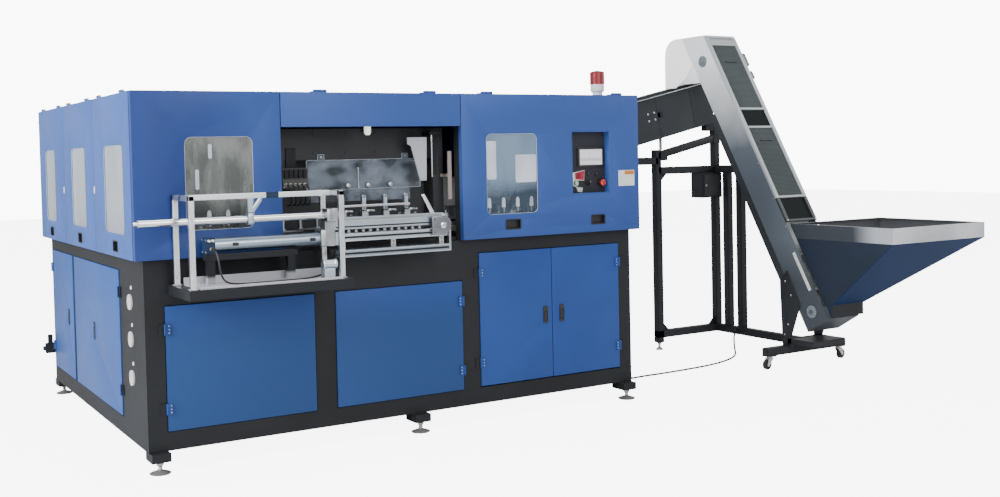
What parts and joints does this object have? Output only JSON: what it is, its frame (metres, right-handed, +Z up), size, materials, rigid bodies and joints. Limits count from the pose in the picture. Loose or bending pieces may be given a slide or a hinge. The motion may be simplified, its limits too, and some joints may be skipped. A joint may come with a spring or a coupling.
{
  "type": "stretch blow moulding machine",
  "caption": "Blue hooded bottle blow moulding machine with a mandrel chain, clamp and take-out bay, fed by a cleated elevator, hopper and roller sorter.",
  "frame": {"origin": "middle of the footprint, on the floor", "axes": "+X along the front from the hood to the elevator, +Y from the front into the machine, +Z up"},
  "size_m": [5.841, 3.4028, 2.554],
  "materials": {
    "frame_charcoal": "charcoal satin paint",
    "door_blue": "mid blue fine textured paint",
    "hood_blue": "light blue fine textured paint",
    "foot_steel": "zinc plated",
    "gauge_face": "pale dial in a dark bezel",
    "console_dark": "dark satin paint",
    "screen_glass": "pale lit screen",
    "stop_red": "red",
    "button_black": "black",
    "beacon_pale": "off white",
    "beacon_red": "translucent red",
    "shelf_dark": "near black satin paint",
    "stainless": "brushed stainless steel",
    "anodised": "clear anodised",
    "bright_chrome": "hard chrome plate",
    "chain_steel": "plain steel",
    "preform_clear": "clear moulded plastic",
    "mould_aluminium": "machined",
    "oven_steel": "bright sheet",
    "guard_clear": "clear sheet",
    "trough_grey": "pale grey paint",
    "belt_white": "white belt with moulded cleats",
    "motor_grey": "grey enamel",
    "stand_black": "near black satin paint",
    "fork_zinc": "zinc plated",
    "tyre_black": "black solid tyre",
    "cord_black": "black jacket"
  },
  "bodies": {
    "machine": {"base_frame": "frame_charcoal", "hood_frame": "frame_charcoal", "machine_bed": "frame_charcoal", "hood_shell": "hood_blue", "front_left_panel": "hood_blue", "levelling_feet": "foot_steel", "pressure_gauges": "gauge_face", "beacon_base": "beacon_pale", "beacon_lens": "beacon_red", "discharge_shelf": "shelf_dark", "discharge_tray": "stainless", "guard_frame": "stainless", "hopper": "stainless", "takeout_cylinder": "anodised", "transfer_rail": "anodised", "mandrel_chain": "chain_steel", "infeed_rails": "chain_steel", "preforms": "preform_clear", "oven": "oven_steel", "clear_guard": "guard_clear", "elevator_trough": "trough_grey", "elevator_cover": "trough_grey", "head_hood": "trough_grey", "elevator_belt": "belt_white", "gear_motor": "motor_grey", "feeder_stand": "stand_black", "sorter_box": "stand_black", "air_hose": "cord_black", "power_cable": "cord_black"},
    "lower_door_left_leaf": {"lower_door_left": "door_blue"},
    "lower_door_middle_leaf": {"lower_door_middle": "door_blue"},
    "cabinet_door_left_leaf": {"cabinet_door_left": "door_blue"},
    "cabinet_door_right_leaf": {"cabinet_door_right": "door_blue"},
    "side_door_front_leaf": {"side_door_front": "door_blue"},
    "side_door_rear_leaf": {"side_door_rear": "door_blue"},
    "header_leaf": {"header_panel": "hood_blue"},
    "front_right_leaf": {"front_right_door": "hood_blue", "hmi_console": "console_dark", "touch_screen": "screen_glass"},
    "side_lift_leaf_1": {"side_lift_door_1": "hood_blue"},
    "side_lift_leaf_2": {"side_lift_door_2": "hood_blue"},
    "side_lift_leaf_3": {"side_lift_door_3": "hood_blue"},
    "stop_button": {"emergency_stop": "stop_red"},
    "start_push": {"start_button": "button_black"},
    "selector_knob": {"mode_selector": "button_black"},
    "takeout": {"takeout_shaft": "bright_chrome", "takeout_beam": "anodised"},
    "front_platen": {"mould_front": "mould_aluminium"},
    "rear_platen": {"mould_rear": "mould_aluminium"},
    "stretch_carriage": {"stretch_rods": "bright_chrome"},
    "drive_wheel": {"drive_chain_wheel": "chain_steel"},
    "idler_wheel": {"idler_chain_wheel": "chain_steel"},
    "upper_drum": {"head_drum": "chain_steel"},
    "lower_drum": {"tail_drum": "chain_steel"},
    "front_roller": {"sorter_roller_front": "chain_steel"},
    "rear_roller": {"sorter_roller_rear": "chain_steel"},
    "left_fork": {"caster_fork_left": "fork_zinc"},
    "right_fork": {"caster_fork_right": "fork_zinc"},
    "left_caster": {"caster_wheel_left": "tyre_black"},
    "right_caster": {"caster_wheel_right": "tyre_black"}
  },
  "joints": [
    {"name": "lower_door_left_hinge", "type": "hinge", "parent": "machine", "child": "lower_door_left_leaf", "pos_m": [-2.7275, -0.9045, 0.5], "axis": [0, 0, -1], "range_deg": [0, 95]},
    {"name": "lower_door_middle_hinge", "type": "hinge", "parent": "machine", "child": "lower_door_middle_leaf", "pos_m": [-0.9355, -0.9045, 0.5], "axis": [0, 0, 1], "range_deg": [0, 90]},
    {"name": "cabinet_door_left_hinge", "type": "hinge", "parent": "machine", "child": "cabinet_door_left_leaf", "pos_m": [-0.8205, -0.9045, 0.6], "axis": [0, 0, -1], "range_deg": [0, 90]},
    {"name": "cabinet_door_right_hinge", "type": "hinge", "parent": "machine", "child": "cabinet_door_right_leaf", "pos_m": [0.2435, -0.9045, 0.6], "axis": [0, 0, 1], "range_deg": [0, 95]},
    {"name": "side_door_front_hinge", "type": "hinge", "parent": "machine", "child": "side_door_front_leaf", "pos_m": [-2.8405, -0.3695, 0.6], "axis": [0, 0, 1], "range_deg": [0, 95]},
    {"name": "side_door_rear_hinge", "type": "hinge", "parent": "machine", "child": "side_door_rear_leaf", "pos_m": [-2.8405, 1.5905, 0.6], "axis": [0, 0, -1], "range_deg": [0, 95]},
    {"name": "header_hinge", "type": "hinge", "parent": "machine", "child": "header_leaf", "pos_m": [-1.5125, -0.9375, 2.006], "axis": [-1, 0, 0], "range_deg": [0, 85]},
    {"name": "front_right_hinge", "type": "hinge", "parent": "machine", "child": "front_right_leaf", "pos_m": [-0.2805, -0.9375, 2.006], "axis": [-1, 0, 0], "range_deg": [0, 85]},
    {"name": "side_lift_1_hinge", "type": "hinge", "parent": "machine", "child": "side_lift_leaf_1", "pos_m": [-2.8735, -0.4745, 2.006], "axis": [0, 1, 0], "range_deg": [0, 85]},
    {"name": "side_lift_2_hinge", "type": "hinge", "parent": "machine", "child": "side_lift_leaf_2", "pos_m": [-2.8735, 0.3855, 2.006], "axis": [0, 1, 0], "range_deg": [0, 85]},
    {"name": "side_lift_3_hinge", "type": "hinge", "parent": "machine", "child": "side_lift_leaf_3", "pos_m": [-2.8735, 1.2455, 2.006], "axis": [0, 1, 0], "range_deg": [0, 85]},
    {"name": "emergency_stop_press", "type": "slide", "parent": "front_right_leaf", "child": "stop_button", "axis": [0, 1, 0], "range_m": [0, 0.006]},
    {"name": "start_button_press", "type": "slide", "parent": "front_right_leaf", "child": "start_push", "axis": [0, 1, 0], "range_m": [0, 0.004], "stiffness_N_per_m": 800, "springref_m": -0.002},
    {"name": "mode_selector_turn", "type": "hinge", "parent": "front_right_leaf", "child": "selector_knob", "pos_m": [0.0195, -0.8985, 1.434], "axis": [0, 1, 0], "range_deg": [-45, 45]},
    {"name": "takeout_travel", "type": "slide", "parent": "machine", "child": "takeout", "axis": [-1, 0, 0], "range_m": [0, 0.35]},
    {"name": "front_platen_stroke", "type": "slide", "parent": "machine", "child": "front_platen", "axis": [0, 1, 0], "range_m": [0, 0.1035]},
    {"name": "rear_platen_stroke", "type": "slide", "parent": "machine", "child": "rear_platen", "axis": [0, 1, 0], "range_m": [-0.1035, 0]},
    {"name": "stretch_stroke", "type": "slide", "parent": "machine", "child": "stretch_carriage", "axis": [0, 0, 1], "range_m": [0, 0.24]},
    {"name": "drive_wheel_spin", "type": "hinge", "parent": "machine", "child": "drive_wheel", "pos_m": [-2.4405, -0.59359, 1.24], "axis": [0, 0, 1], "continuous": true},
    {"name": "idler_wheel_spin", "type": "hinge", "parent": "machine", "child": "idler_wheel", "pos_m": [-0.3605, -0.59359, 1.24], "axis": [0, 0, 1], "continuous": true},
    {"name": "head_drum_spin", "type": "hinge", "parent": "machine", "child": "upper_drum", "pos_m": [2.0795, 0.14662, 2.34352], "axis": [1, 0, 0], "continuous": true},
    {"name": "tail_drum_spin", "type": "hinge", "parent": "machine", "child": "lower_drum", "pos_m": [2.0795, -0.99011, 0.43662], "axis": [1, 0, 0], "continuous": true},
    {"name": "front_roller_spin", "type": "hinge", "parent": "machine", "child": "front_roller", "pos_m": [1.19462, 0.4405, 1.7829], "axis": [0.9756, 0, 0.2195], "continuous": true},
    {"name": "rear_roller_spin", "type": "hinge", "parent": "machine", "child": "rear_roller", "pos_m": [1.19462, 0.5305, 1.7829], "axis": [0.9756, 0, 0.2195], "continuous": true},
    {"name": "left_fork_swivel", "type": "hinge", "parent": "machine", "child": "left_fork", "pos_m": [1.7445, -0.7345, 0.09], "axis": [0, 0, 1], "continuous": true},
    {"name": "right_fork_swivel", "type": "hinge", "parent": "machine", "child": "right_fork", "pos_m": [2.4695, -0.7345, 0.09], "axis": [0, 0, 1], "continuous": true},
    {"name": "left_caster_roll", "type": "hinge", "parent": "left_fork", "child": "left_caster", "pos_m": [1.7195, -0.7345, 0.0375], "axis": [0, 1, 0], "continuous": true},
    {"name": "right_caster_roll", "type": "hinge", "parent": "right_fork", "child": "right_caster", "pos_m": [2.4945, -0.7345, 0.0375], "axis": [0, 1, 0], "continuous": true}
  ],
  "couplings": [
    {"joint": "rear_platen_stroke", "follows": "front_platen_stroke", "ratio": -1},
    {"joint": "idler_wheel_spin", "follows": "drive_wheel_spin", "ratio": 1},
    {"joint": "tail_drum_spin", "follows": "head_drum_spin", "ratio": 1},
    {"joint": "rear_roller_spin", "follows": "front_roller_spin", "ratio": -1}
  ]
}
